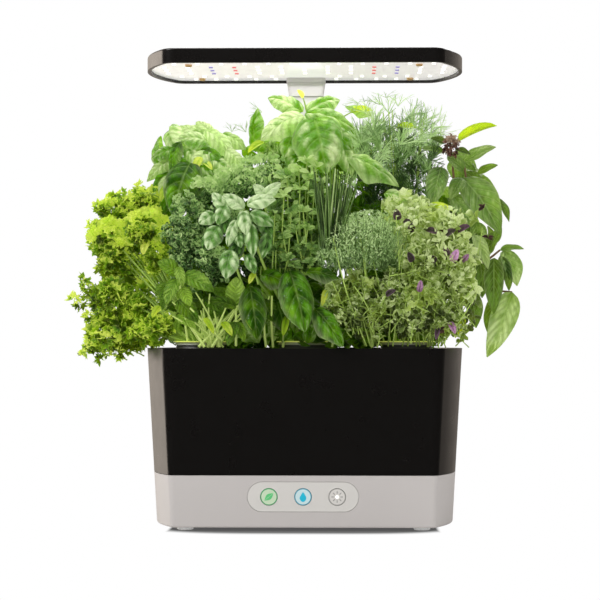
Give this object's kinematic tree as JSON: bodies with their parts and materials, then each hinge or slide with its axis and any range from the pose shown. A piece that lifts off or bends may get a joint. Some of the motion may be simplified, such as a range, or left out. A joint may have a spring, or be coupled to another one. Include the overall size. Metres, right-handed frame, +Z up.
{
  "type": "countertop hydroponic garden",
  "caption": "Countertop water garden: black tapered bowl with herb pods on a pale powered base, under a flat grow-light hood on a telescoping rear mast.",
  "frame": {"origin": "on the table under the centre of the body", "axes": "+X to the right seen from the front, +Y to the back where the mast stands, +Z up"},
  "size_m": [0.386, 0.196, 0.3956],
  "materials": {
    "base_grey": "satin moulded plastic",
    "panel_grey": "satin moulded plastic",
    "foot_rubber": "soft translucent grey",
    "screw_steel": "plain zinc",
    "circuit_board": "solder mask",
    "switch_black": "moulded",
    "led_white": "lens, lit",
    "led_red": "lens, lit",
    "led_blue": "lens, lit",
    "contact_brass": "polished",
    "mast_grey": "satin",
    "tube_aluminium": "satin anodised",
    "hood_black": "satin black",
    "board_white": "white gloss coating",
    "screw_brass": "plated",
    "bowl_black": "satin black",
    "deck_dark": "fine texture",
    "pump_black": "moulded",
    "coil_copper": "wound wire",
    "shaft_ceramic": "ground",
    "filter_foam": "open foam",
    "impeller_white": "moulded",
    "button_clear": "satin translucent cap",
    "basket_plastic": "moulded",
    "sponge": "peat sponge",
    "label_green": "coated card",
    "leaf": "living leaf"
  },
  "bodies": {
    "base": {"base_shell": "base_grey", "base_floor_plate": "base_grey", "rubber_feet": "foot_rubber", "base_screws": "screw_steel", "control_panel": "panel_grey", "control_board": "circuit_board", "tact_switches": "switch_black", "indicator_leds": "led_white", "dc_inlet": "switch_black", "main_board": "circuit_board", "base_contacts": "contact_brass", "mast_tower": "mast_grey", "mast_bush": "mast_grey"},
    "lamp": {"mast_tube": "tube_aluminium", "mast_shoe": "mast_grey", "mast_bracket": "screw_steel", "mast_collar": "mast_grey", "hood_housing": "hood_black", "light_board": "board_white", "hood_screws": "screw_brass", "leds_white": "led_white", "leds_red": "led_red", "leds_blue": "led_blue"},
    "bowl": {"bowl": "bowl_black", "bowl_contacts": "contact_brass", "grow_deck": "deck_dark", "pump_cover": "pump_black", "pump_housing": "pump_black", "pump_coil": "coil_copper", "pump_shaft": "shaft_ceramic", "pump_filter": "filter_foam", "pump_riser": "pump_black", "grow_basket_1": "basket_plastic", "grow_sponge_1": "sponge", "pod_label_1": "label_green", "plant_1": "leaf", "grow_basket_2": "basket_plastic", "grow_sponge_2": "sponge", "pod_label_2": "label_green", "plant_2": "leaf", "grow_basket_3": "basket_plastic", "grow_sponge_3": "sponge", "pod_label_3": "label_green", "plant_3": "leaf", "grow_basket_4": "basket_plastic", "grow_sponge_4": "sponge", "pod_label_4": "label_green", "plant_4": "leaf", "grow_basket_5": "basket_plastic", "grow_sponge_5": "sponge", "pod_label_5": "label_green", "plant_5": "leaf", "grow_basket_6": "basket_plastic", "grow_sponge_6": "sponge", "pod_label_6": "label_green", "plant_6": "leaf"},
    "impeller": {"impeller": "impeller_white"},
    "button_food": {"button_food": "button_clear"},
    "button_water": {"button_water": "button_clear"},
    "button_light": {"button_light": "button_clear"}
  },
  "joints": [
    {"name": "mast_slide", "type": "slide", "parent": "base", "child": "lamp", "axis": [0, 0, 1], "range_m": [-0.13, 0], "deforming": ["plant_1", "plant_2", "plant_3", "plant_4", "plant_5", "plant_6"]},
    {"name": "bowl_lift", "type": "slide", "parent": "base", "child": "bowl", "axis": [0, 0, 1], "range_m": [0, 0.01]},
    {"name": "impeller_spin", "type": "hinge", "parent": "bowl", "child": "impeller", "pos_m": [0.043, 0.002, 0.052], "axis": [0, 0, 1], "continuous": true},
    {"name": "button_food_press", "type": "slide", "parent": "base", "child": "button_food", "axis": [0, 0.9985, 0.0553], "range_m": [0, 0.0008], "stiffness_N_per_m": 900},
    {"name": "button_water_press", "type": "slide", "parent": "base", "child": "button_water", "axis": [0, 0.9985, 0.0553], "range_m": [0, 0.0008], "stiffness_N_per_m": 900},
    {"name": "button_light_press", "type": "slide", "parent": "base", "child": "button_light", "axis": [0, 0.9985, 0.0553], "range_m": [0, 0.0008], "stiffness_N_per_m": 900}
  ]
}
